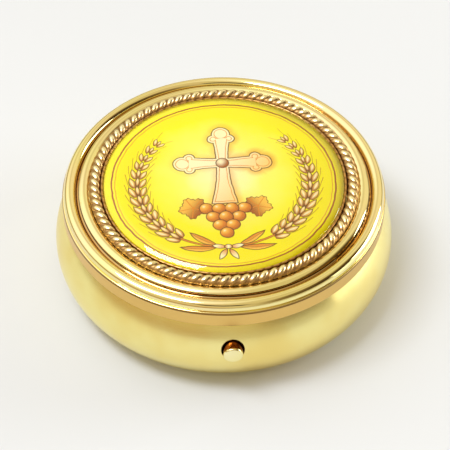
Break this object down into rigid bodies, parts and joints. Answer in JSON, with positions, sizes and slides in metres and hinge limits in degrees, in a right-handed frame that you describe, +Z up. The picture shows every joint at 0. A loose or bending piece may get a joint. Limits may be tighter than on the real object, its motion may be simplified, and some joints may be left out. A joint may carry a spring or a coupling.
{
  "type": "pyx",
  "caption": "Round gold-plated pyx with a bellied bowl, hinged moulded lid with twisted rope border and domed picture medallion, opened by a push button at the front.",
  "frame": {"origin": "middle of the flat underside, on the bowl's axis", "axes": "+Z up along the bowl's axis, -Y towards the push button at the front, +Y towards the hinge, hinge pin along X"},
  "size_m": [0.0638, 0.0654, 0.0223],
  "materials": {
    "gold_plate": "polished gold plate on brass",
    "gold_lining": "satin gold plate on brass",
    "spring_steel": "bright rolled spring strip",
    "printed_disc": "printed metal disc",
    "clear_resin": "clear cast resin, glossy"
  },
  "bodies": {
    "base": {"base_shell": "gold_plate", "base_collar": "gold_plate", "inner_cup": "gold_lining", "latch_spring": "spring_steel", "hinge_base_leaf": "gold_plate", "hinge_pin": "gold_plate"},
    "button": {"push_button": "gold_plate"},
    "lid": {"lid_shell": "gold_plate", "lid_liner": "gold_lining", "lid_catch": "gold_plate", "hinge_lid_leaf": "gold_plate", "medallion_tray": "gold_plate", "rope_border": "gold_plate", "picture_disc": "printed_disc", "clear_dome": "clear_resin"}
  },
  "joints": [
    {"name": "lid_hinge", "type": "hinge", "parent": "base", "child": "lid", "pos_m": [0, 0.0313, 0.0159], "axis": [-1, 0, 0], "range_deg": [0, 105], "deforming": ["latch_spring"]},
    {"name": "button_press", "type": "slide", "parent": "base", "child": "button", "axis": [0, 1, 0], "range_m": [0, 0.0011], "stiffness_N_per_m": 900, "deforming": ["latch_spring"]}
  ]
}
